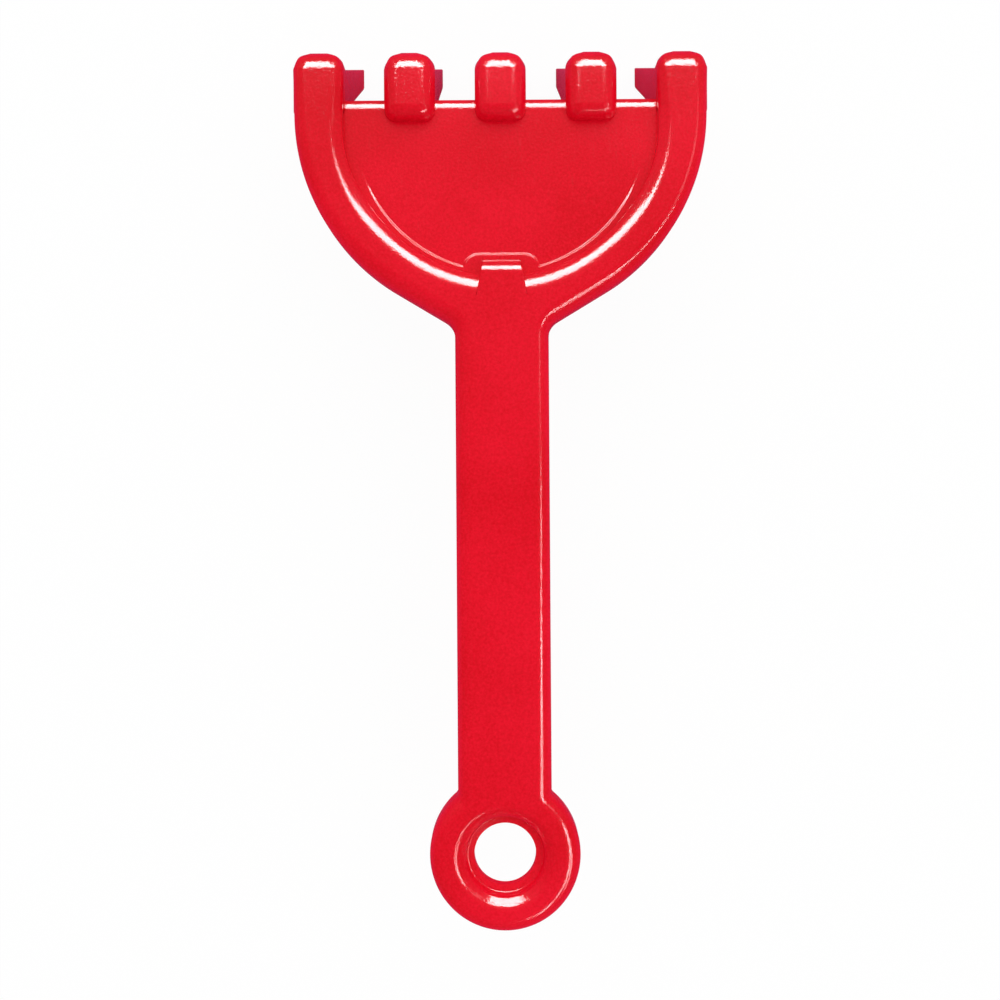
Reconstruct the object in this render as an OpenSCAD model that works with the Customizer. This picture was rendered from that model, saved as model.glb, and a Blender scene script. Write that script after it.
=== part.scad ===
// Toy sand rake: a single thin-walled moulding, described as the regions that a person would name on it.
// The regions meet face to face. The back is open everywhere, so each region is a channel of even wall.
// The origin is the centre of the hanging hole, halfway through the hole's wall.
// +Y runs along the handle to the head, +Z comes out of the front face, and the tines reach down.

/* [Head] */
// Distance from the hanging hole to the centre of the rim's outer arc
head_reach = 204; // [150:1:300]
// How far the centre of the rim's inner arc lies behind the centre of the outer one
arc_shift = 3.4; // [0:0.1:6]
// Radius of the outer top edge, along the rim, shoulders and handle
edge_r = 4; // [2.5:0.1:5]
// Radius of the rim's inner top edge
inner_edge_r = 3.2; // [2.5:0.1:4]
// Wall of the whole moulding
wall = 2; // [1.2:0.1:2.4]
// Depth of the outer side walls, from the front face to the back edge
side_depth = 8; // [7.5:0.1:14]

/* [Panel] */
// Depth of the panel below the front face
panel_depth = 4.5; // [3:0.1:5]
// Distance from the outer arc's centre forward to the panel's front wall
panel_front = 4.8; // [4.5:0.1:7]
// Radius of the panel's front top edge
lip_r = 3; // [2.2:0.1:3.2]
// Width of the level strip between the rim and the lower floor
strip_w = 2.7; // [2:0.1:6]
// How far the floor has sunk below the strip where it meets the neck
floor_drop = 0.8; // [0.2:0.1:1]
// Distance from the inner arc's centre back to where the floor comes up level with the strip
floor_fade = 10.6; // [5:0.1:20]

/* [Tines] */
// Distance between the middles of two tines
tine_pitch = 25; // [21:0.5:32]
// Width of a tine
tine_w = 14.2; // [12:0.1:16]
// Distance from the outer arc's centre forward to the knuckles' front walls
knuckle_front = 16.6; // [15:0.1:24]
// Distance from the outer arc's centre back to the inner knuckles' rear walls
knuckle_rear = 2.2; // [1:0.1:4]
// Radius of the knuckles' front edges
knuckle_r = 4.6; // [3:0.1:5]
// Radius of the inner knuckles' rear edges
knuckle_rear_r = 3.2; // [2:0.1:4]
// Depth of the tine tips below the front face
tine_depth = 41.3; // [30:0.1:60]
// Distance from the outer arc's centre forward to the front of the tips
tine_reach = 30; // [26:0.1:40]
// Distance from the outer arc's centre forward to the blade's front side, at the panel's level
blade_front = 12.1; // [11:0.1:13]
// Thickness of the blade at the panel's level, measured along the handle
blade_root_t = 8; // [7:0.1:9]
// Thickness of the blade at its tip, measured along the handle
blade_tip_t = 6.6; // [5.5:0.1:8]
// Length that the sloping rear corner of the tip takes off along the handle
tip_cut_y = 1.2; // [0.5:0.1:2]
// Height that the sloping rear corner of the tip takes off
tip_cut_z = 3.3; // [1:0.1:6]

/* [Neck] */
// Slope of the shoulders against a line across the handle, in degrees
shoulder_slope = 31; // [20:1:40]
// Radius of the hollow corner between a shoulder and the handle
shoulder_r = 3.5; // [2:0.1:8]
// Distance from the outer arc's centre back to where the neck takes over from the handle
neck_start = 66; // [64:0.5:75]
// Half of the angle that the neck takes up around the head, in degrees
neck_half_angle = 38; // [36:1:44]
// Width of the tab at its front
tab_front_w = 11.4; // [8:0.1:12]
// Width of the tab at its back
tab_back_w = 13.6; // [12:0.1:16]
// Length of the tab, of which most lies on the neck
tab_len = 7.3; // [6:0.1:9]
// How far the tab stands out from the rim's inner wall
tab_out = 3.9; // [3:0.1:5]
// Distance from the tab to the edge of the lower floor in front of it
tab_strip_front = 4.4; // [3:0.1:6]
// Distance from the tab to the edge of the lower floor beside it
tab_strip_side = 4.8; // [3:0.1:6]

/* [Handle and ring] */
// Width of the handle
handle_w = 25.8; // [22:0.1:30]
// Outer radius of the hanging ring
ring_r = 20.75; // [19:0.05:26]
// Radius of the hanging hole
hole_r = 8.5; // [5:0.1:9.5]
// Length of the hole's wall
hole_wall = 2; // [1.5:0.1:3]
// Depth of the hole's front edge below the front face
hole_drop = 4.2; // [3:0.1:5]
// Radius at which the slope down to the hole starts
slope_top_r = 13.8; // [13:0.1:15]
// Radius at which the slope down to the hole ends
slope_foot_r = 11; // [10:0.1:12]
// Depth of the foot of that slope below the front face
slope_foot_drop = 3; // [1:0.1:4]

/* [Hidden] */
$fn = 96;
// Segments in a circle of a blended solid
blend_fn = 32;
// Overrun of every cut
slack = 1;
// Facets around each blended bend of the neck's edge
edge_steps = 8;
// Angle from the head's middle line at which the neck's outer edge starts, in degrees
arc_from = 60;
// Thickness of the slice that stands for a cross-section in a blended solid
slice = 0.05;
mould_red = [0.88, 0.12, 0.17];

// The tines are numbered from the left, and the third one stands in the middle
middle_tine = 3;
last_tine = 5;

// Heights, from the middle of the hole's wall
face_z = hole_drop + hole_wall / 2;
back_z = face_z - side_depth;
panel_z = face_z - panel_depth;
panel_under_z = panel_z - wall;

// The rim is as wide as the outer tines that end it
outer_r = (last_tine - middle_tine) * tine_pitch + tine_w / 2;
inner_r = outer_r - tine_w;
inner_y = head_reach - arc_shift;
neck_y = head_reach - neck_start;
handle_half = handle_w / 2;
tine_half = tine_w / 2;

// The ring's flat top is where the handle takes over from it
ring_flat_r = ring_r - edge_r;

// The shoulder is a straight line that touches the outer arc, and a hollow corner joins it to the handle
shoulder_touch = [outer_r * sin(shoulder_slope), head_reach - outer_r * cos(shoulder_slope)];
shoulder_out = [sin(shoulder_slope), -cos(shoulder_slope)];
corner_x = handle_half + shoulder_r;
corner_y = shoulder_touch[1]
    + ((corner_x - shoulder_touch[0]) * sin(shoulder_slope) - shoulder_r) / cos(shoulder_slope);
corner_end = [corner_x, corner_y] - shoulder_r * shoulder_out;

// The blade leans forward, and this is the thickness of its front wall measured along the handle
blade_lean = atan((tine_reach - blade_front) / (tine_depth - panel_depth));
blade_wall_y = wall / cos(blade_lean);
knuckle_foot = panel_depth + (knuckle_front - blade_front) / tan(blade_lean);
hollow_foot = panel_depth + (knuckle_front - wall - blade_front + blade_wall_y) / tan(blade_lean);

function tine_x(i) = (i - middle_tine) * tine_pitch;
function at_edge(i) = i == 1 || i == last_tine;

// What a rounding of radius r takes off the left top corner of a section that has its corner at the origin
module corner_cut(r) {
    difference() {
        translate([-slack, -r]) square([r + slack, r + slack]);
        translate([r, -r]) circle(r);
    }
}

// Section from x0 to x1 and from z0 up to z1, with its right top corner rounded
module right_rounded(x0, x1, z0, z1, r) {
    difference() {
        translate([x0, z0]) square([x1 - x0, z1 - z0]);
        translate([x1, z1]) mirror([1, 0]) corner_cut(r);
    }
}

// Section of the given half width from z0 up to z1, with both top corners rounded
module both_rounded(half_w, z0, z1, r) {
    right_rounded(0, half_w, z0, z1, r);
    mirror([1, 0]) right_rounded(0, half_w, z0, z1, r);
}

// Ring and handle

// Outer envelope of the handle, from the ring's flat top to the neck
module handle_envelope() {
    difference() {
        translate([0, neck_y, 0]) rotate([90, 0, 0])
            linear_extrude(neck_y) both_rounded(handle_half, back_z, face_z, edge_r);
        translate([0, 0, back_z - slack]) cylinder(r = ring_flat_r, h = side_depth + 2 * slack);
    }
}

module handle() {
    color(mould_red)
    difference() {
        handle_envelope();
        translate([0, neck_y + slack, 0]) rotate([90, 0, 0]) linear_extrude(neck_y + 2 * slack)
            both_rounded(handle_half - wall, back_z - slack, face_z - wall, edge_r - wall);
    }
}

// Half section of the ring: a flat top, a slope down to the hole's thin edge, and an open back
module ring_section() {
    foot_z = face_z - slope_foot_drop;
    hole_top_z = face_z - hole_drop;
    hole_foot_z = hole_top_z - hole_wall;
    difference() {
        right_rounded(hole_r, ring_r, back_z, face_z, edge_r);
        polygon([
            [hole_r - slack, hole_top_z],
            [hole_r, hole_top_z],
            [slope_foot_r, foot_z],
            [slope_top_r, face_z],
            [slope_top_r, face_z + slack],
            [hole_r - slack, face_z + slack]
        ]);
        polygon([
            [hole_r - slack, hole_foot_z],
            [slope_foot_r + wall / 2, hole_foot_z],
            [slope_top_r + wall / 2, face_z - wall],
            [ring_r - wall, face_z - wall],
            [ring_r - wall, back_z - slack],
            [hole_r - slack, back_z - slack]
        ]);
    }
}

module hanging_ring() {
    color(mould_red)
    difference() {
        rotate_extrude() ring_section();
        handle_envelope();
    }
}

// Rim and neck

// Everything inside the rim's inner wall, with the inner top edge's rounding
module rim_opening() {
    translate([0, inner_y, 0]) {
        rotate_extrude() opening_section();
        translate([0, arc_shift + slack, 0]) rotate([90, 0, 0]) linear_extrude(arc_shift + slack) {
            opening_section();
            mirror([1, 0]) opening_section();
        }
    }
}

module opening_section() {
    translate([0, back_z - slack]) square([inner_r, side_depth + 2 * slack]);
    translate([inner_r, face_z]) corner_cut(inner_edge_r);
    translate([0, face_z - inner_edge_r]) square([inner_r, inner_edge_r + slack]);
}

// The space inside the rim's inner wall and the wall itself, over the whole depth
module inner_wall_prism() {
    translate([0, inner_y, back_z - 2 * slack]) linear_extrude(side_depth + 3 * slack) {
        circle(inner_r + wall);
        translate([-inner_r - wall, 0]) square([2 * (inner_r + wall), arc_shift + slack]);
    }
}

// The same space below the panel's underside, where the wall ends
module under_inner_wall() {
    intersection() {
        inner_wall_prism();
        translate([-outer_r, neck_y, panel_under_z - side_depth]) cube([2 * outer_r, 2 * outer_r, side_depth]);
    }
}

// The side of the neck's cut faces that the rims lie on, to the right
module right_of_neck() {
    far = 2 * outer_r;
    translate([0, 0, back_z - slack]) linear_extrude(side_depth + 2 * slack)
        polygon([
            [0, inner_y],
            [far * sin(neck_half_angle), inner_y - far * cos(neck_half_angle)],
            [far, inner_y - far * cos(neck_half_angle)],
            [far, head_reach],
            [0, head_reach]
        ]);
}

module rim_side() {
    intersection() {
        difference() {
            translate([0, head_reach, 0])
                rotate_extrude() right_rounded(0, outer_r, back_z, face_z, edge_r);
            difference() {
                translate([0, head_reach, 0]) rotate_extrude()
                    right_rounded(0, outer_r - wall, back_z - slack, face_z - wall, edge_r - wall);
                inner_wall_prism();
            }
            under_inner_wall();
            rim_opening();
        }
        right_of_neck();
    }
}

module rim_right() {
    color(mould_red) rim_side();
}

module rim_left() {
    color(mould_red) mirror([1, 0, 0]) rim_side();
}

// Right half of the neck's outer edge, drawn in by an inset: the arc, the shoulder's end, the hollow corner
// and the handle's side
function neck_edge(inset) = concat(
    [for (k = [0 : edge_steps])
        let (a = arc_from + (shoulder_slope - arc_from) * k / edge_steps)
        [0, head_reach] + (outer_r - inset) * [sin(a), -cos(a)]],
    [for (k = [0 : edge_steps])
        let (a = 90 + shoulder_slope + (90 - shoulder_slope) * k / edge_steps)
        [corner_x, corner_y] + (shoulder_r + inset) * [cos(a), sin(a)]],
    [[handle_half - inset, neck_y - slack]]);

// Both halves as one closed outline
function neck_loop(inset) = let (right = neck_edge(inset), last = len(right) - 1)
    concat(right, [for (k = [0 : last]) [-right[last - k][0], right[last - k][1]]]);

// Shoulders, the arc between them and the end of the handle as a mass from foot up to top, with its top edge
// rounded and its sides drawn in
module neck_mass(inset, foot, top, r) {
    rings = concat([[inset, foot]], [for (k = [0 : edge_steps])
        let (a = 90 * k / edge_steps) [inset + r * (1 - cos(a)), top - r + r * sin(a)]]);
    count = len(neck_loop(inset));
    highest = len(rings) - 1;
    points = [for (ring = rings) for (p = neck_loop(ring[0])) [p[0], p[1], ring[1]]];
    function at(ring, k) = ring * count + k % count;
    // One strip of a flat end, from a stretch of the right half to the same stretch of the left half
    function strip(ring, k) = [at(ring, k), at(ring, k + 1), at(ring, count - 2 - k), at(ring, count - 1 - k)];
    function flipped(face) = [for (k = [len(face) - 1 : -1 : 0]) face[k]];
    polyhedron(points, concat(
        [for (k = [0 : count / 2 - 2]) flipped(strip(0, k))],
        [for (k = [0 : count / 2 - 2]) strip(highest, k)],
        [for (ring = [0 : highest - 1]) for (k = [0 : count - 1]) [at(ring, k), at(ring, k + 1), at(ring + 1, k + 1)]],
        [for (ring = [0 : highest - 1]) for (k = [0 : count - 1]) [at(ring, k), at(ring + 1, k + 1), at(ring + 1, k)]]
    ));
}

// The neck's share of the plan, between its cut faces and in front of the handle
module neck_span() {
    half = (inner_y - neck_y) * tan(neck_half_angle);
    polygon([[0, inner_y], [-half, neck_y], [half, neck_y]]);
}

module neck() {
    color(mould_red)
    difference() {
        intersection() {
            neck_mass(0, back_z, face_z, edge_r);
            translate([0, 0, back_z - slack]) linear_extrude(side_depth + 2 * slack) neck_span();
        }
        difference() {
            neck_mass(wall, back_z - slack, face_z - wall, edge_r - wall);
            inner_wall_prism();
        }
        under_inner_wall();
        rim_opening();
        tab_block();
    }
}

// The tab stands at the front face's level, and its back end lies in the neck
module tab_block() {
    front = inner_y - inner_r + tab_out;
    translate([0, 0, panel_z]) linear_extrude(panel_depth)
        polygon([
            [-tab_back_w / 2, front - tab_len],
            [tab_back_w / 2, front - tab_len],
            [tab_front_w / 2, front],
            [-tab_front_w / 2, front]
        ]);
}

module neck_tab() {
    color(mould_red) tab_block();
}

// Panel

// The lower floor, which tilts down from the level strip towards the neck and leaves room around the tab
module floor_cut() {
    floor_r = inner_r - strip_w;
    tilt = atan(floor_drop / (floor_r - floor_fade));
    tab_y = inner_y - inner_r + tab_out;
    intersection() {
        translate([0, inner_y - floor_fade, panel_z]) rotate([tilt, 0, 0])
            translate([-floor_r, -2 * floor_r, 0]) cube([2 * floor_r, 2 * floor_r, wall]);
        translate([0, 0, panel_under_z]) linear_extrude(2 * wall)
            difference() {
                translate([0, inner_y]) circle(floor_r);
                polygon([
                    [-tab_front_w / 2, tab_y + tab_strip_front],
                    [tab_front_w / 2, tab_y + tab_strip_front],
                    [tab_front_w / 2 + tab_strip_side, tab_y],
                    [tab_front_w / 2 + tab_strip_side, inner_y - inner_r],
                    [-tab_front_w / 2 - tab_strip_side, inner_y - inner_r],
                    [-tab_front_w / 2 - tab_strip_side, tab_y]
                ]);
            }
    }
}

module head_panel() {
    lip_y = head_reach + panel_front - lip_r - wall / 2;
    color(mould_red)
    difference() {
        translate([0, 0, panel_under_z]) linear_extrude(wall)
            difference() {
                union() {
                    translate([0, inner_y]) circle(inner_r);
                    translate([-inner_r, inner_y]) square([2 * inner_r, lip_y - inner_y]);
                }
                translate([-outer_r, lip_y]) square([2 * outer_r, outer_r]);
                for (i = [2 : last_tine - 1])
                    translate([tine_x(i) - tine_half, head_reach - knuckle_rear])
                        square([tine_w, tine_w + knuckle_rear]);
            }
        floor_cut();
    }
}

// One stretch of the panel's front edge, from tine i to the next one
module lip(i) {
    front = head_reach + panel_front;
    rear = front - lip_r - wall / 2;
    color(mould_red)
    translate([tine_x(i) + tine_half, 0, 0]) rotate([90, 0, 90])
        linear_extrude(tine_pitch - tine_w)
            difference() {
                right_rounded(rear, front, back_z, panel_z, lip_r);
                right_rounded(rear - slack, front - wall, back_z - slack, panel_under_z, lip_r - wall);
            }
}

// Tines

// Rounded block on top of a tine, from the front face down to where its front wall meets the blade
module inner_knuckle() {
    hull() {
        for (side = [-1, 1]) {
            translate([side * (tine_half - knuckle_r), knuckle_front - knuckle_r, 0]) {
                translate([0, 0, -knuckle_r]) sphere(knuckle_r, $fn = blend_fn);
                translate([0, 0, -knuckle_foot]) cylinder(r = knuckle_r, h = slice, $fn = blend_fn);
            }
            translate([side * (tine_half - knuckle_rear_r), knuckle_rear_r - knuckle_rear, 0]) {
                translate([0, 0, -knuckle_rear_r]) sphere(knuckle_rear_r, $fn = blend_fn);
                translate([0, 0, -panel_depth]) cylinder(r = knuckle_rear_r, h = slice, $fn = blend_fn);
            }
        }
    }
    translate([-tine_half, -knuckle_rear, -panel_depth - wall])
        cube([tine_w, knuckle_rear + panel_front, wall]);
}

// The same block on an outer tine, where it carries on the rim's own section; outward is 1 or -1
module outer_knuckle(outward) {
    hull() {
        for (side = [-1, 1])
            translate([side * (tine_half - knuckle_r), knuckle_front - knuckle_r, 0]) {
                translate([0, 0, -knuckle_r]) sphere(knuckle_r, $fn = blend_fn);
                translate([0, 0, -knuckle_foot]) cylinder(r = knuckle_r, h = slice, $fn = blend_fn);
            }
        translate([outward * (tine_half - edge_r), slice, -edge_r]) rotate([90, 0, 0])
            cylinder(r = edge_r, h = slice, $fn = blend_fn);
        translate([-outward * (tine_half - inner_edge_r), slice, -inner_edge_r]) rotate([90, 0, 0])
            cylinder(r = inner_edge_r, h = slice, $fn = blend_fn);
        translate([-tine_half, 0, -side_depth]) cube([tine_w, slice, slice]);
    }
}

// Side view of the blade, with the sloping rear corner of its tip
module blade_outline() {
    rear = tine_reach - blade_tip_t;
    polygon([
        [blade_front, -panel_depth],
        [tine_reach, -tine_depth],
        [rear + tip_cut_y, -tine_depth],
        [rear - tip_cut_y, -tine_depth + tip_cut_z],
        [blade_front - blade_root_t, -panel_depth]
    ]);
}

// Side view of the hollow inside the knuckle and behind the blade's front wall
module hollow_outline(rear) {
    below = tine_depth + slack;
    run = slack * tan(blade_lean);
    polygon([
        [rear, -wall],
        [knuckle_front - wall, -wall],
        [knuckle_front - wall, -hollow_foot],
        [tine_reach - blade_wall_y + run, -below],
        [rear, -below]
    ]);
}

module tine(i) {
    outward = sign(i - middle_tine);
    hollow_rear = at_edge(i) ? -slack : wall - knuckle_rear;
    color(mould_red)
    translate([tine_x(i), head_reach, face_z])
        difference() {
            union() {
                if (at_edge(i)) outer_knuckle(outward);
                else inner_knuckle();
                translate([-tine_half, 0, 0]) rotate([90, 0, 90]) linear_extrude(tine_w) blade_outline();
            }
            translate([wall - tine_half, 0, 0]) rotate([90, 0, 90])
                linear_extrude(tine_w - 2 * wall) hollow_outline(hollow_rear);
        }
}

hanging_ring();
handle();
neck();
neck_tab();
rim_left();
rim_right();
head_panel();
lip(1);  // lip_1
lip(2);  // lip_2
lip(3);  // lip_3
lip(4);  // lip_4
tine(1);  // tine_1
tine(2);  // tine_2
tine(3);  // tine_3
tine(4);  // tine_4
tine(5);  // tine_5
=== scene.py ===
import math

import bmesh
import bpy
from mathutils import Matrix, Vector


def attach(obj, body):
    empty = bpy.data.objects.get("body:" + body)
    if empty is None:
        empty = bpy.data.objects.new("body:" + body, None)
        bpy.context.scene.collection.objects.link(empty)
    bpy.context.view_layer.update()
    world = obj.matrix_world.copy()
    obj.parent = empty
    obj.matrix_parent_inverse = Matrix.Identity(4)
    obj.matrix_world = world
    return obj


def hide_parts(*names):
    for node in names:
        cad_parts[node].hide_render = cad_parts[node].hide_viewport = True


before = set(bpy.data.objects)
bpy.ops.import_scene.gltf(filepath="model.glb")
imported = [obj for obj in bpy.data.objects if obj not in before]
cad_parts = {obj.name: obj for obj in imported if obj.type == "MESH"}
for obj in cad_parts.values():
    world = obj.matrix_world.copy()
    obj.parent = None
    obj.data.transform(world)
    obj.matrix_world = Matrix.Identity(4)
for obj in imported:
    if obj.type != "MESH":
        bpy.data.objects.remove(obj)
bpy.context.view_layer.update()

# The frame: handle, shoulders and rim
# The rake is one injection moulding in glossy red polypropylene, coloured right through and hollow behind an
# even wall. Its frame is one broad flat-topped band with well rounded edges. The outer edge is the rake's
# outline, and the inner edge falls to the sunken panel.
mm = 0.001
near, hair, speck = 0.1 * mm, 0.01 * mm, 0.004 * mm
face_z = 5.2 * mm
side_depth = 8 * mm
back_z = face_z - side_depth
wall = 2 * mm
handle_half = 12.9 * mm
outer_centre = (0, 203.6 * mm)
outer_r = 56.7 * mm
head_half = 57.05 * mm
inner_centre = (0, 200.6 * mm)
inner_r = 42.9 * mm
shoulder_degrees = 31
shoulder_r = 5.5 * mm
front_y = 221.2 * mm
corner_r = 5.2 * mm
outer_edge_r = 4.3 * mm
inner_edge_r = 3.4 * mm
front_edge_r = 6.8 * mm
neck_y = 138 * mm
arc_end_y = 204 * mm

# The plastic has a faint mottle from the pigment, a slight orange peel and fine scuffs from handling
red = (0.85, 0.0048, 0.023, 1)
red_deep = (0.69, 0.0014, 0.010, 1)
plastic = bpy.data.materials.new("glossy_red_moulding")
plastic.use_nodes = True
nodes, links = plastic.node_tree.nodes, plastic.node_tree.links
shader = nodes["Principled BSDF"]
shader.inputs["IOR"].default_value = 1.5
place = nodes.new("ShaderNodeTexCoord")


def noise(coordinates, scale, detail, roughness=0.5):
    """A noise texture on these coordinates, as a shade from 0 to 1."""
    texture = nodes.new("ShaderNodeTexNoise")
    texture.inputs["Scale"].default_value = scale
    texture.inputs["Detail"].default_value = detail
    texture.inputs["Roughness"].default_value = roughness
    links.new(coordinates, texture.inputs["Vector"])
    return texture.outputs["Fac"]


blend = nodes.new("ShaderNodeMath")
blend.operation = "ADD"
half = nodes.new("ShaderNodeMath")
half.operation = "MULTIPLY"
half.inputs[1].default_value = 0.5
tone = nodes.new("ShaderNodeValToRGB")
tone.color_ramp.elements[0].position = 0.39
tone.color_ramp.elements[0].color = red_deep
tone.color_ramp.elements[1].position = 0.61
tone.color_ramp.elements[1].color = red
links.new(noise(place.outputs["Object"], scale=1400, detail=4, roughness=0.6), blend.inputs[0])
links.new(noise(place.outputs["Object"], scale=22, detail=3), blend.inputs[1])
links.new(blend.outputs[0], half.inputs[0])
links.new(half.outputs[0], tone.inputs["Fac"])
links.new(tone.outputs["Color"], shader.inputs["Base Color"])

scuff_place = nodes.new("ShaderNodeMapping")
scuff_place.inputs["Rotation"].default_value = (0, 0, 0.6)
scuff_place.inputs["Scale"].default_value = (2600, 160, 600)
scuff_mask = nodes.new("ShaderNodeValToRGB")
scuff_mask.color_ramp.elements[0].position = 0.6
scuff_mask.color_ramp.elements[1].position = 0.78
wear = nodes.new("ShaderNodeMapRange")
wear.inputs["To Min"].default_value = 0.12
wear.inputs["To Max"].default_value = 0.2
links.new(place.outputs["Object"], scuff_place.inputs["Vector"])
links.new(noise(scuff_place.outputs["Vector"], scale=1, detail=4), scuff_mask.inputs["Fac"])
links.new(scuff_mask.outputs["Color"], wear.inputs["Value"])
links.new(wear.outputs["Result"], shader.inputs["Roughness"])

relief = nodes.new("ShaderNodeBump")
relief.inputs["Strength"].default_value = 0.24
relief.inputs["Distance"].default_value = 0.2 * mm
links.new(noise(place.outputs["Object"], scale=1500, detail=2), relief.inputs["Height"])
links.new(relief.outputs["Normal"], shader.inputs["Normal"])


def pen_down(name, x, y, z=face_z):
    """Start a new piece as one point."""
    bpy.ops.object.select_all(action="DESELECT")
    bpy.ops.mesh.primitive_plane_add(size=mm, location=(0, 0, 0))
    piece = bpy.context.object
    piece.name = piece.data.name = name
    bpy.ops.object.mode_set(mode="EDIT")
    bpy.ops.mesh.merge(type="CENTER")
    bpy.ops.transform.translate(value=(x, y, z))
    return piece


def pen_at():
    """The place that the outline has come to."""
    points = bmesh.from_edit_mesh(bpy.context.object.data)
    return next(v.co.copy() for v in points.verts if v.select)


def line_to(x, y):
    """Draw a straight edge to a place in the plan."""
    start = pen_at()
    bpy.ops.mesh.extrude_region_move(TRANSFORM_OT_translate={"value": (x - start.x, y - start.y, 0)})


def turn(centre, degrees, steps):
    """Draw an arc about a centre in the plan, counter-clockwise where degrees is positive."""
    start = pen_at()
    bpy.ops.mesh.spin(steps=steps, angle=-math.radians(degrees), center=(centre[0], centre[1], start.z),
                      axis=(0, 0, 1))


def closed_face(piece):
    """Mirror the half outline across the middle line, close it and fill it."""
    bpy.ops.object.mode_set(mode="OBJECT")
    other = piece.modifiers.new("other half", "MIRROR")
    other.merge_threshold = hair
    bpy.ops.object.modifier_apply(modifier=other.name)
    bpy.ops.object.mode_set(mode="EDIT")
    bpy.ops.mesh.select_all(action="SELECT")
    bpy.ops.mesh.remove_doubles(threshold=hair)
    bpy.ops.mesh.edge_face_add()


def thicken(move):
    """Extrude the filled outline along a vector and turn the faces outwards."""
    bpy.ops.mesh.select_all(action="SELECT")
    bpy.ops.mesh.extrude_region_move(TRANSFORM_OT_translate={"value": move})
    bpy.ops.mesh.select_all(action="SELECT")
    bpy.ops.mesh.normals_make_consistent(inside=False)
    bpy.ops.object.mode_set(mode="OBJECT")


def pick(piece, kind, wanted):
    """In edit mode, select the piece's points (VERT) or faces (FACE) for which wanted says yes."""
    bpy.ops.mesh.select_mode(type=kind)
    bpy.ops.mesh.select_all(action="DESELECT")
    shape = bmesh.from_edit_mesh(piece.data)
    for part in shape.faces if kind == "FACE" else shape.verts:
        part.select = wanted(part)
    bmesh.update_edit_mesh(piece.data)


def use(piece):
    """Make a piece the only one selected."""
    bpy.ops.object.select_all(action="DESELECT")
    piece.select_set(True)
    bpy.context.view_layer.objects.active = piece


def round_edges(piece, radius_at, segments=10):
    """Round each edge by the radius that radius_at gives for its two ends."""
    radii = []
    for edge in piece.data.edges:
        a, b = (piece.data.vertices[v].co for v in edge.vertices)
        radii.append(radius_at(a, b))
    widest = max(radii)
    weight = piece.data.attributes.new("bevel_weight_edge", "FLOAT", "EDGE")
    for k, radius in enumerate(radii):
        weight.data[k].value = radius / widest
    rounding = piece.modifiers.new("rounding", "BEVEL")
    rounding.limit_method = "WEIGHT"
    rounding.width = widest
    rounding.segments = segments
    rounding.use_clamp_overlap = False
    use(piece)
    bpy.ops.object.modifier_apply(modifier=rounding.name)
    piece.data.attributes.remove(piece.data.attributes["bevel_weight_edge"])


def copy_of(piece, name):
    new = piece.copy()
    new.data = piece.data.copy()
    new.name = new.data.name = name
    bpy.context.collection.objects.link(new)
    return new


def cut_away(piece, point, direction):
    """Cut the piece with a plane, throw away what lies on the direction's side and close the cut."""
    use(piece)
    bpy.ops.object.mode_set(mode="EDIT")
    bpy.ops.mesh.select_all(action="SELECT")
    bpy.ops.mesh.bisect(plane_co=point, plane_no=direction, use_fill=True, clear_outer=True)
    bpy.ops.object.mode_set(mode="OBJECT")


def finish(piece, *cad_nodes):
    """Clean the mesh, smooth it, and let it ride and stand for its CAD nodes in the moulding's plastic."""
    use(piece)
    bpy.ops.object.mode_set(mode="EDIT")
    bpy.ops.mesh.select_all(action="SELECT")
    bpy.ops.mesh.remove_doubles(threshold=speck)
    bpy.ops.mesh.dissolve_degenerate(threshold=speck / 2)
    bpy.ops.mesh.normals_make_consistent(inside=False)
    bpy.ops.object.mode_set(mode="OBJECT")
    bpy.ops.object.shade_smooth_by_angle(angle=math.radians(32))
    even = piece.modifiers.new("even", "WEIGHTED_NORMAL")
    even.keep_sharp = True
    even.weight = 100
    bpy.ops.object.modifier_apply(modifier=even.name)
    piece.data.materials.clear()
    piece.data.materials.append(plastic)
    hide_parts(*cad_nodes)
    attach(piece, "root")


# The shoulder is a straight line that touches the outer arc; a hollow corner joins it to the handle
shoulder_slope = math.radians(shoulder_degrees)
touch = (outer_r * math.sin(shoulder_slope), outer_centre[1] - outer_r * math.cos(shoulder_slope))
hollow_x = handle_half + shoulder_r
hollow_rise = (hollow_x - touch[0]) * math.sin(shoulder_slope) - shoulder_r
hollow_y = touch[1] + hollow_rise / math.cos(shoulder_slope)
band_end = 12 * mm
band = pen_down("band", 0, band_end)
line_to(handle_half, band_end)
line_to(handle_half, hollow_y)
turn((hollow_x, hollow_y), shoulder_degrees - 90, steps=10)
line_to(*touch)
turn(outer_centre, 90 - shoulder_degrees, steps=64)
line_to(head_half, front_y)
line_to(inner_r, front_y)
line_to(inner_r, inner_centre[1])
turn(inner_centre, -90, steps=90)
closed_face(band)
thicken((0, 0, back_z - face_z))


def on_top(a, b):
    return min(a.z, b.z) > face_z - near


def upright(a, b):
    return abs(a.z - b.z) > mm


def in_front(a, b):
    return min(a.y, b.y) > front_y - near


def from_inner_centre(x, y):
    """How far out a point lies: from the arc's centre behind it, from the middle line in front of it."""
    return math.hypot(x, y - inner_centre[1]) if y < inner_centre[1] else abs(x)


def band_radius(a, b):
    """Full rounding on the outer top edge, a tighter one on the inner edge, none where the handle goes on."""
    x, y = (a.x + b.x) / 2, (a.y + b.y) / 2
    if in_front(a, b) and upright(a, b):
        return corner_r
    if not on_top(a, b) or y < band_end + near:
        return 0
    if in_front(a, b):
        return front_edge_r
    return inner_edge_r if abs(from_inner_centre(x, y) - inner_r) < near else outer_edge_r


round_edges(band, band_radius, segments=12)


def ease(low, high, value):
    """A smooth step from 0 at low to 1 at high."""
    share = min(1, max(0, (value - low) / (high - low)))
    return share * share * (3 - 2 * share)


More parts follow.
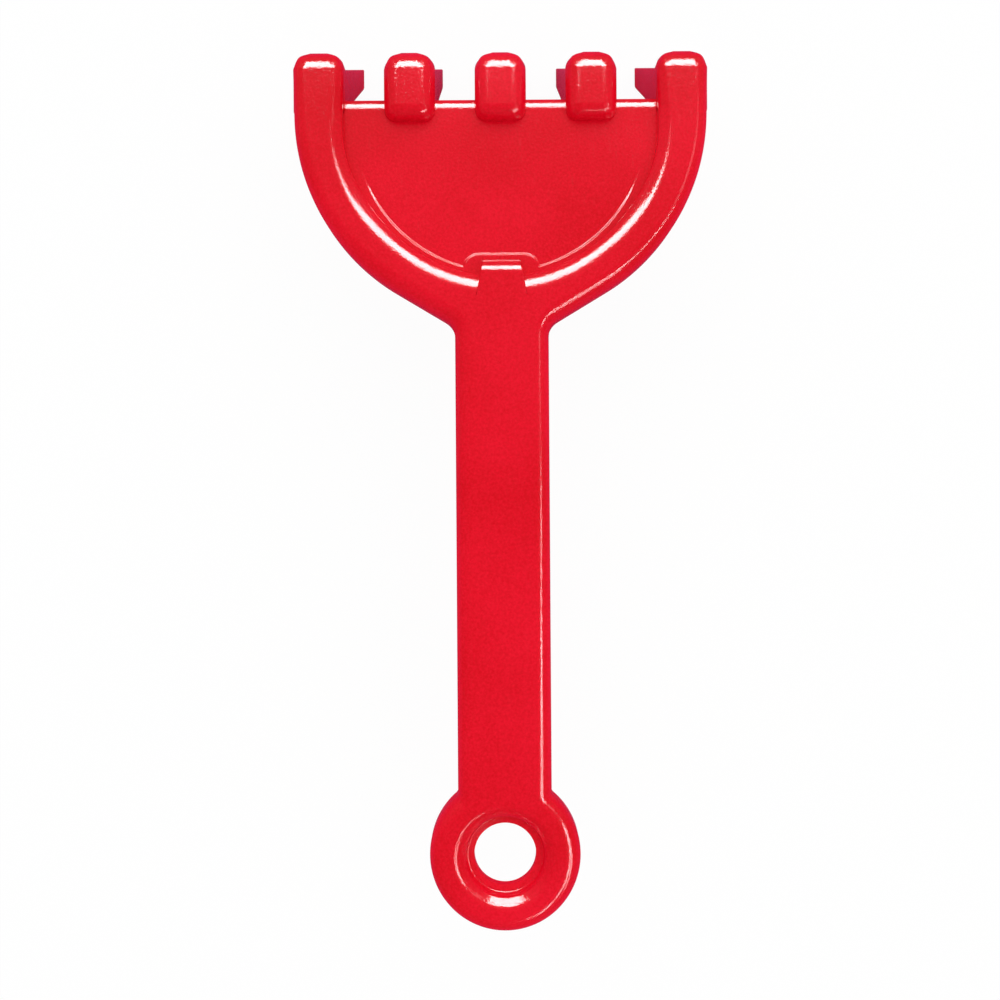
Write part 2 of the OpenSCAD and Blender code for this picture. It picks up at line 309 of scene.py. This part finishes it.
# Towards the handle the inner edge rounds over further out and deeper than at the sides of the head, and in
# front of it the plain rounding comes back. Each turn is a stretch of degrees away from the handle, over which
# one of these changes fades.
foot_at_side, foot_inwards, foot_turn = 43.3 * mm, 1.3 * mm, (45, 85)
flat_at_side, flat_outwards, flat_turn = 47.2 * mm, 0.5 * mm, (20, 45)
foot_share = 0.12
fuller, fuller_turn = 0.4, (35, 65)
deeper = 1.1 * mm
plain_start_y, plain_end_y = 202 * mm, 213 * mm
for point in band.data.vertices:
    x, y = point.co.x, point.co.y - inner_centre[1]
    from_inner = from_inner_centre(point.co.x, point.co.y)
    turned = math.degrees(math.atan2(abs(x), -y)) if y < 0 else 90
    if from_inner < inner_r + inner_edge_r + hair:
        handleward = 1 - ease(*foot_turn, turned)
        foot = foot_at_side - foot_inwards * handleward
        flat = flat_at_side + flat_outwards * (1 - ease(*flat_turn, turned))
        share = max(0, (from_inner - inner_r) / inner_edge_r - foot_share) / (1 - foot_share)
        new = foot + share ** (1 - fuller * ease(*fuller_turn, turned)) * (flat - foot)
        new += ease(plain_start_y, plain_end_y, point.co.y) * (from_inner - new)
        if y < 0:
            point.co.x, point.co.y = x * new / from_inner, inner_centre[1] + y * new / from_inner
        else:
            point.co.x = math.copysign(new, x)
        drop = face_z - point.co.z
        if drop < inner_edge_r + hair:
            point.co.z = face_z - drop * (inner_edge_r + deeper * handleward) / inner_edge_r
solid_band = copy_of(band, "solid_band")

# The flat back is sunk inwards behind an even wall. Inside the rim the wall ends just below the panel, so that
# the two undersides never lie in one plane.
use(band)
bpy.ops.object.mode_set(mode="EDIT")
pick(band, "FACE", lambda face: face.normal.z < -0.9 and face.calc_center_median().z < back_z + near)
bpy.ops.mesh.inset(thickness=wall)
bpy.ops.mesh.extrude_region_move(TRANSFORM_OT_translate={"value": (0, 0, side_depth - wall)})
bpy.ops.mesh.select_mode(type="VERT")
bpy.ops.object.mode_set(mode="OBJECT")
panel_z = face_z - 4.5 * mm
panel_under_z = panel_z - wall
inner_wall_r = inner_r + wall + 0.6 * mm
wall_gap = 0.05 * mm
for point in band.data.vertices:
    if point.co.z < back_z + near and from_inner_centre(point.co.x, point.co.y) < inner_wall_r:
        point.co.z = panel_under_z - wall_gap

# The cut lines between the pieces run square across the band, so that the rounding passes over them unbroken
neck_angle = math.radians(38)
rimward = (math.cos(neck_angle), math.sin(neck_angle), 0)
centre_point = (0, inner_centre[1], 0)
ring_end_y = 20.75 * mm

handle = copy_of(band, "handle_bar")
cut_away(handle, (0, neck_y, 0), (0, 1, 0))
cut_away(handle, (0, ring_end_y, 0), (0, -1, 0))
finish(handle, "handle")

rim_right = copy_of(band, "rim_arc_right")
cut_away(rim_right, centre_point, (-rimward[0], -rimward[1], 0))
cut_away(rim_right, (0, arc_end_y, 0), (0, 1, 0))
finish(rim_right, "rim_right")

rim_left = copy_of(band, "rim_arc_left")
cut_away(rim_left, centre_point, (rimward[0], -rimward[1], 0))
cut_away(rim_left, (0, arc_end_y, 0), (0, 1, 0))
finish(rim_left, "rim_left")

# The neck and its tongue
# The shoulders gather the rim into the handle. A short tongue runs from the flat top out over the panel, with
# a rounded front and crisp sides. Both are part of the one red moulding.
tab_front_y = 163.5 * mm
tab_back_y = 153 * mm
tab_front_half, tab_back_half = 5.05 * mm, 6.95 * mm
tab_front_r = 4.4 * mm
crisp_r = 0.35 * mm


def carve(piece, cutter, operation="DIFFERENCE"):
    """Join or subtract another solid, which is used up."""
    use(piece)
    step = piece.modifiers.new("carve", "BOOLEAN")
    step.operation = operation
    step.solver = "EXACT"
    step.object = cutter
    bpy.ops.object.modifier_apply(modifier=step.name)
    bpy.data.objects.remove(cutter)


def tab_outline(name, spare=0):
    piece = pen_down(name, 0, tab_back_y, face_z + spare)
    line_to(tab_back_half, tab_back_y)
    line_to(tab_front_half, tab_front_y)
    line_to(0, tab_front_y)
    closed_face(piece)
    return piece


neck = band
neck.name = neck.data.name = "neck_shoulders"
cut_away(neck, centre_point, rimward)
cut_away(neck, centre_point, (-rimward[0], rimward[1], 0))
cut_away(neck, (0, neck_y, 0), (0, -1, 0))
tab_space = tab_outline("tab_space", mm)
thicken((0, 0, panel_z - face_z - mm))
carve(neck, tab_space)
finish(neck, "neck")

tab = tab_outline("neck_tongue")
thicken((0, 0, panel_z - face_z))


def tab_radius(a, b):
    at_front = (a.y + b.y) / 2 > tab_front_y - near
    if on_top(a, b) and at_front:
        return tab_front_r
    if on_top(a, b) and abs(a.x) > tab_front_half - near and abs(a.y - b.y) > mm:
        return crisp_r
    return crisp_r if upright(a, b) and at_front else 0


round_edges(tab, tab_radius, segments=8)
finish(tab, "neck_tab")

# The hanging ring
# The handle ends in a round eye, moulded in one with it. From its flat top a steep slope drops to a thin flange
# around the hole, where a peg or a cord goes through.
ring_r = 20.75 * mm
hole_r = 8.5 * mm
fillet_r = 2 * mm
fillet_x = handle_half + fillet_r
fillet_y = math.sqrt((ring_r + fillet_r) ** 2 - fillet_x ** 2)
meet = math.degrees(math.atan2(fillet_y, fillet_x))
eye_start_y = ring_end_y + 6 * mm
eye = pen_down("hanging_eye", 0, eye_start_y)
line_to(handle_half, eye_start_y)
line_to(handle_half, fillet_y)
turn((fillet_x, fillet_y), meet, steps=10)
turn((0, 0), -(90 + meet), steps=110)
closed_face(eye)
thicken((0, 0, back_z - face_z))


def eye_radius(a, b):
    return outer_edge_r if on_top(a, b) and (a.y + b.y) / 2 < eye_start_y - near else 0


round_edges(eye, eye_radius, segments=12)
cut_away(eye, (0, ring_end_y, 0), (0, 1, 0))


def revolved(name, section, roundings=()):
    """Spin a closed section of (radius, height) points about the hole, after rounding some of its corners."""
    piece = pen_down(name, section[0][0], 0, section[0][1])
    for (r0, z0), (r1, z1) in zip(section, section[1:]):
        bpy.ops.mesh.extrude_region_move(TRANSFORM_OT_translate={"value": (r1 - r0, 0, z1 - z0)})
    for corner, radius in roundings:
        pick(piece, "VERT", lambda point: math.hypot(point.co.x - corner[0], point.co.z - corner[1]) < hair)
        bpy.ops.mesh.bevel(offset=radius, segments=6, affect="VERTICES")
    bpy.ops.mesh.select_all(action="SELECT")
    bpy.ops.mesh.spin(steps=128, angle=math.tau, center=(0, 0, 0), axis=(0, 0, 1))
    bpy.ops.mesh.select_all(action="SELECT")
    bpy.ops.mesh.remove_doubles(threshold=speck)
    bpy.ops.mesh.normals_make_consistent(inside=False)
    bpy.ops.object.mode_set(mode="OBJECT")
    return piece


slope_top = (14.1 * mm, face_z)
slope_middle = (13.2 * mm, face_z - 0.3 * mm)
slope_low = (12.1 * mm, face_z - 1.1 * mm)
slope_step = (11 * mm, face_z - 2.1 * mm)
slope_foot = (10.5 * mm, face_z - 3.9 * mm)
hole_edge = (hole_r, face_z - 4.2 * mm)
hole_back_z = hole_edge[1] - wall
above_z, below_z = face_z + mm, back_z - mm
clear_r = slope_top[0] + 3 * mm
well = revolved("well", [
    (0, above_z), (clear_r, above_z), (clear_r, face_z),
    slope_top, slope_middle, slope_low, slope_step, slope_foot, hole_edge,
    (hole_r, hole_back_z), (hole_r, below_z), (0, below_z),
], [
    (slope_top, 0.35 * mm), (slope_middle, 0.5 * mm), (slope_low, 0.25 * mm), (slope_step, 0.4 * mm),
    (slope_foot, 0.35 * mm),
])
carve(eye, well)
groove_z = face_z - wall
back_groove = revolved("back_groove", [
    (0, below_z), (ring_r - wall, below_z), (ring_r - wall, groove_z), (slope_top[0] + mm, groove_z),
    (slope_foot[0] + mm, hole_back_z), (0, hole_back_z),
])
carve(eye, back_groove)


def block(name, low, high):
    """A plain cutting block between two corners."""
    bpy.ops.object.select_all(action="DESELECT")
    middle = [(a + b) / 2 for a, b in zip(low, high)]
    bpy.ops.mesh.primitive_cube_add(size=1, location=middle, scale=[b - a for a, b in zip(low, high)])
    bpy.ops.object.transform_apply(location=True, rotation=True, scale=True)
    bpy.context.object.name = name
    return bpy.context.object


channel = block("channel", (wall - handle_half, slope_top[0] + mm, below_z),
                (handle_half - wall, ring_end_y + mm, groove_z))
carve(eye, channel)
finish(eye, "hanging_ring")

# The sunken panel
# Inside the rim lies a thin panel of the same moulding, below the face. A level strip runs along the rim and
# around the tongue, and inside it the floor is a little lower towards the neck. The front edge turns down in a
# rounded lip.
panel_front_y = 208.5 * mm
lip_r = 3.4 * mm
lip_flatness = 0.58
panel_r = 43.3 * mm
panel = pen_down("sunken_panel", 0, inner_centre[1] - panel_r, panel_z)
turn(inner_centre, 90, steps=90)
line_to(panel_r, panel_front_y)
line_to(0, panel_front_y)
closed_face(panel)
thicken((0, 0, back_z - panel_z))


def lip_radius(a, b):
    return lip_r if min(a.z, b.z) > panel_z - near and min(a.y, b.y) > panel_front_y - near else 0


round_edges(panel, lip_radius)
for point in panel.data.vertices:
    if panel_z - lip_r - hair < point.co.z < panel_z:
        point.co.z = panel_z - (panel_z - point.co.z) * lip_flatness
under_half, under_start_y = 50 * mm, 150 * mm
under = block("under", (-under_half, under_start_y, below_z),
              (under_half, panel_front_y - wall, panel_under_z))
carve(panel, under)

# The floor is lowest at the neck and level with the panel from floor_fade_y on. Its edge is a soft step, cut
# with a chain of insets in mm: each so far inwards and so far down.
floor_r = 40.5 * mm
floor_fade_y = 190 * mm
floor_front_y = 204 * mm
floor_gap = 0.02 * mm
cutter_height = 2 * mm
step_insets = [(0.1, 0.02), (0.1, 0.06), (0.12, 0.2), (0.22, 0.36), (0.1, 0.11), (0.1, 0.05), (0.1, 0.02)]
detour_x, detour_y = 6.3 * mm, tab_front_y + 1.4 * mm
detour_r, detour_degrees = 3.8 * mm, 72
step_tip_x = 10.3 * mm
step_tip_back = math.sqrt(floor_r ** 2 - step_tip_x ** 2)
floor_space = pen_down("floor_space", 0, detour_y, panel_z)
line_to(detour_x, detour_y)
turn((detour_x, detour_y - detour_r), -detour_degrees, steps=12)
line_to(step_tip_x, inner_centre[1] - step_tip_back)
turn(inner_centre, math.degrees(math.atan2(step_tip_back, step_tip_x)), steps=80)
line_to(floor_r, floor_front_y)
line_to(0, floor_front_y)
closed_face(floor_space)
pick(floor_space, "VERT", lambda point: abs(point.co.x) < hair)
bpy.ops.mesh.dissolve_verts()
thicken((0, 0, cutter_height))
bpy.ops.object.mode_set(mode="EDIT")
pick(floor_space, "FACE", lambda face: face.normal.z < -0.9)
for inwards, down in step_insets:
    bpy.ops.mesh.inset(thickness=inwards * mm, depth=down * mm)
bpy.ops.mesh.select_mode(type="VERT")
bpy.ops.object.mode_set(mode="OBJECT")
for point in floor_space.data.vertices:
    if point.co.z < panel_z + cutter_height / 2:
        share = (floor_fade_y - point.co.y) / (floor_fade_y - inner_centre[1] + floor_r)
        point.co.z = panel_z + (point.co.z - panel_z) * share + (floor_gap if share < 0 else 0)
carve(panel, floor_space)

# Each inner tine passes through the front of the panel in a close-fitting notch
tine_pitch = 25 * mm
tine_half = 7.05 * mm
notch_rear_y = 201.85 * mm
notch_front_y = 212 * mm
rear_r = 3.2 * mm


def notch_radius(a, b):
    return rear_r if upright(a, b) and a.y < notch_rear_y + near else 0


for x in (-tine_pitch, 0, tine_pitch):
    notch = block("notch", (x - tine_half, notch_rear_y, below_z), (x + tine_half, notch_front_y, face_z))
    round_edges(notch, notch_radius, segments=8)
    carve(panel, notch)
finish(panel, "head_panel", "lip_1", "lip_2", "lip_3", "lip_4")

# The tines
# Each tine is moulded as a knuckle with soft edges on top and a straight, sharp-edged blade that leans forward
# below it. The wall is even all over, so the tine is open behind. The outer two carry on the rim's own band.
knuckle_rear_y = 201.8 * mm
knuckle_side_r = 4.6 * mm
knuckle_rear_drop = 6.5 * mm
tip_rear_r = 1.6 * mm
blade_half = tine_half - 0.03 * mm
blade_top_z = panel_z
tip_z = face_z - 41.3 * mm
blade_top_y = (204.1 * mm, 216.1 * mm)
blade_tip_y = (227.6 * mm, 234 * mm)
lean = (blade_tip_y[1] - blade_top_y[1]) / (blade_top_z - tip_z)
front_wall = wall * math.sqrt(1 + lean ** 2)
foot_drop = 14.9 * mm


def sloped_block(name, half_width, top_z, top_y, low_z, low_y):
    """A block whose top and bottom lie at different places along the handle."""
    piece = block(name, (-half_width, 0, 0), (half_width, mm, mm))
    for point in piece.data.vertices:
        ahead, up = point.co.y > 0.5 * mm, point.co.z > 0.5 * mm
        point.co.z = top_z if up else low_z
        point.co.y = (top_y if up else low_y)[1 if ahead else 0]
    return piece


def blade_radius(a, b):
    """Nearly sharp long edges, and a well rounded rear corner at the tip."""
    if max(a.z, b.z) < tip_z + near and max(a.y, b.y) < blade_tip_y[0] + near:
        return tip_rear_r
    return crisp_r if upright(a, b) else 0


def space_radius(a, b):
    """The hollow follows the knuckle's rounded front at the wall's distance."""
    at_front = min(a.y, b.y) > front_y - wall - near
    return front_edge_r - wall if at_front and min(a.z, b.z) > face_z - wall - near else 0


def add_blade(knuckle, x, hollow_rear_y):
    """Grow the blade out of the knuckle and hollow both out from behind."""
    def hollow_y(z):
        """Where the hollow begins and ends at this height."""
        return hollow_rear_y, blade_top_y[1] - front_wall + (blade_top_z - z) * lean

    blade = sloped_block("blade", blade_half, blade_top_z, blade_top_y, tip_z, blade_tip_y)
    round_edges(blade, blade_radius, segments=5)
    inner_foot_z = blade_top_z - (front_y - wall + front_wall - blade_top_y[1]) / lean
    knuckle_space = block("knuckle_space", (wall - tine_half, hollow_rear_y, inner_foot_z),
                          (tine_half - wall, front_y - wall, face_z - wall))
    round_edges(knuckle_space, space_radius, segments=6)
    low_z = tip_z - mm
    blade_space = sloped_block("blade_space", tine_half - wall,
                               back_z, hollow_y(back_z), low_z, hollow_y(low_z))
    for piece in (blade, knuckle_space, blade_space):
        piece.data.transform(Matrix.Translation((x, 0, 0)))
    carve(knuckle, blade, "UNION")
    carve(knuckle, knuckle_space)
    carve(knuckle, blade_space)


def slope_underside(piece, rear_y, rear_drop):
    """Let the knuckle's underside slope down to where its front wall meets the blade."""
    for point in piece.data.vertices:
        if point.co.z < back_z + near:
            share = (point.co.y - rear_y) / (front_y - rear_y)
            point.co.z = face_z - rear_drop - share * (foot_drop - rear_drop)


def knuckle_radius(a, b):
    """The front is rounded most, the sides a little less and the rear least."""
    front = in_front(a, b)
    if on_top(a, b):
        rear = max(a.y, b.y) < knuckle_rear_y + near
        return front_edge_r if front else rear_r if rear else knuckle_side_r
    if upright(a, b):
        return corner_r if front else rear_r
    return 0


knuckle = block("tine_middle", (-tine_half, knuckle_rear_y, back_z), (tine_half, front_y, face_z))
round_edges(knuckle, knuckle_radius, segments=12)
slope_underside(knuckle, knuckle_rear_y, knuckle_rear_drop)
add_blade(knuckle, 0, knuckle_rear_y + wall)
for name, node, x in (("tine_inner_left", "tine_2", -tine_pitch), ("tine_inner_right", "tine_4", tine_pitch)):
    other = copy_of(knuckle, name)
    other.data.transform(Matrix.Translation((x, 0, 0)))
    finish(other, node)
finish(knuckle, "tine_3")

for name, node, side in (("tine_outer_left", "tine_1", -1), ("tine_outer_right", "tine_5", 1)):
    end = copy_of(solid_band, name)
    cut_away(end, (0, arc_end_y, 0), (0, -1, 0))
    cut_away(end, (0, 0, 0), (-side, 0, 0))
    slope_underside(end, arc_end_y, side_depth)
    add_blade(end, side * 2 * tine_pitch, arc_end_y - mm)
    finish(end, node)
bpy.data.objects.remove(solid_band)

# The table, the light and the camera
# The rake lies on a plain white table and is seen straight from above its face. One wide soft light stands
# beyond the tines and smaller ones to the right, which together draw the highlights along the edges.
bpy.ops.object.select_all(action="DESELECT")
bpy.ops.mesh.primitive_plane_add(size=6, location=(0, 0.1, -36.6 * mm))
table = bpy.context.object
table.name = "table"
paint = bpy.data.materials.new("white_table")
paint.use_nodes = True
paint_nodes, paint_links = paint.node_tree.nodes, paint.node_tree.links
white = paint_nodes["Principled BSDF"]
white.inputs["Base Color"].default_value = (0.9, 0.9, 0.9, 1)
white.inputs["Roughness"].default_value = 0.9
white.inputs["Specular IOR Level"].default_value = 0
# Painted reflection: in the plastic's reflections the table shows as a dim magenta red instead of white, which
# tints the tine sides and edges.
painted_reflection_tint = paint_nodes.new("ShaderNodeBsdfDiffuse")
painted_reflection_tint.inputs["Color"].default_value = (0.5, 0.055, 0.15, 1)
glow = paint_nodes.new("ShaderNodeEmission")
glow.inputs["Strength"].default_value = 1
seen = paint_nodes.new("ShaderNodeLightPath")
straight = paint_nodes.new("ShaderNodeMath")
straight.operation = "MAXIMUM"
plain_share = paint_nodes.new("ShaderNodeMath")
plain_share.operation = "MULTIPLY"
plain_share.inputs[1].default_value = 0.95
bright = paint_nodes.new("ShaderNodeMixShader")
mixed = paint_nodes.new("ShaderNodeMixShader")
paint_links.new(seen.outputs["Is Camera Ray"], straight.inputs[0])
paint_links.new(seen.outputs["Is Transmission Ray"], straight.inputs[1])
paint_links.new(straight.outputs[0], plain_share.inputs[0])
paint_links.new(plain_share.outputs[0], bright.inputs["Fac"])
paint_links.new(white.outputs[0], bright.inputs[1])
paint_links.new(glow.outputs[0], bright.inputs[2])
paint_links.new(seen.outputs["Is Glossy Ray"], mixed.inputs["Fac"])
paint_links.new(bright.outputs[0], mixed.inputs[1])
paint_links.new(painted_reflection_tint.outputs[0], mixed.inputs[2])
paint_links.new(mixed.outputs[0], paint_nodes["Material Output"].inputs["Surface"])
table.data.materials.append(paint)


def softbox(name, azimuth, height, distance, size, power, in_gloss, aim_y=170 * mm):
    """A rectangular light that aims at the point aim_y on the middle line.

    It stands azimuth degrees off +Y and height degrees off the zenith. Where in_gloss is true it shows only in
    reflections, and otherwise it gives only the soft light.
    """
    lamp = bpy.data.lights.new(name, "AREA")
    lamp.shape = "RECTANGLE"
    lamp.size, lamp.size_y = size
    lamp.energy = power
    holder = bpy.data.objects.new(name, lamp)
    bpy.context.collection.objects.link(holder)
    aim = Vector((0, aim_y, 0))
    a, h = math.radians(azimuth), math.radians(height)
    towards = Vector((math.sin(a) * math.sin(h), math.cos(a) * math.sin(h), math.cos(h)))
    holder.location = aim + distance * towards
    holder.rotation_euler = (aim - holder.location).to_track_quat("-Z", "Y").to_euler()
    holder.visible_diffuse = not in_gloss
    holder.visible_glossy = in_gloss


softbox("window_beyond", 0, 49.3, 1.6, (1.75, 0.76), 94, True)
softbox("window_right", 73, 46, 0.9, (0.34, 0.12), 0.25, True)
softbox("strip_right", 132, 45, 0.9, (1.0, 0.06), 3.6, True)
softbox("window_low", 90, 46, 0.36, (0.3, 0.05), 0.45, True, aim_y=-157 * mm)
softbox("fill_beyond", 0, 50, 2.0, (2.8, 1.4), 11, False)
softbox("fill_right", 95, 45, 2.0, (1, 1), 3, False)

# The room is plain white to the camera, nearly so as soft light, and dim in the plastic's reflections
world = bpy.data.worlds.new("studio")
bpy.context.scene.world = world
world.use_nodes = True
room_nodes, room_links = world.node_tree.nodes, world.node_tree.links
room = room_nodes["Background"]
room.inputs["Color"].default_value = (1, 1, 1, 1)
ray = room_nodes.new("ShaderNodeLightPath")
direction = room_nodes.new("ShaderNodeTexCoord")
parts = room_nodes.new("ShaderNodeSeparateXYZ")
gloss_tone = room_nodes.new("ShaderNodeMapRange")
gloss_tone.inputs["From Min"].default_value = 0
gloss_tone.inputs["From Max"].default_value = 0.4
gloss_tone.inputs["To Min"].default_value = 0.05
gloss_tone.inputs["To Max"].default_value = 0.15
room_tone = room_nodes.new("ShaderNodeMix")
room_tone.inputs["A"].default_value = 0.87
through = room_nodes.new("ShaderNodeMath")
through.operation = "MAXIMUM"
behind = room_nodes.new("ShaderNodeMath")
behind.operation = "MAXIMUM"
room_links.new(direction.outputs["Generated"], parts.inputs[0])
room_links.new(parts.outputs["Y"], gloss_tone.inputs["Value"])
room_links.new(ray.outputs["Is Glossy Ray"], room_tone.inputs["Factor"])
room_links.new(gloss_tone.outputs["Result"], room_tone.inputs["B"])
room_links.new(ray.outputs["Is Camera Ray"], through.inputs[0])
room_links.new(ray.outputs["Is Transmission Ray"], through.inputs[1])
room_links.new(through.outputs[0], behind.inputs[0])
room_links.new(room_tone.outputs["Result"], behind.inputs[1])
room_links.new(behind.outputs[0], room.inputs["Strength"])

# The camera's height, place and turn are those that the photo's perspective shows
bpy.context.scene.view_settings.view_transform = "Standard"
eye_height = 236 * mm
frame_width = 270.6 * mm
camera = bpy.data.cameras.new("camera")
camera.sensor_width = 36
camera.lens = camera.sensor_width * eye_height / frame_width
camera.shift_x = 0.003
camera.shift_y = -0.010
camera.clip_start = 0.01
viewer = bpy.data.objects.new("camera", camera)
viewer.location = (-1.633 * mm, 100.13 * mm, face_z + eye_height)
viewer.rotation_euler = (0, 0, math.radians(-0.3815))
bpy.context.collection.objects.link(viewer)
bpy.context.scene.camera = viewer
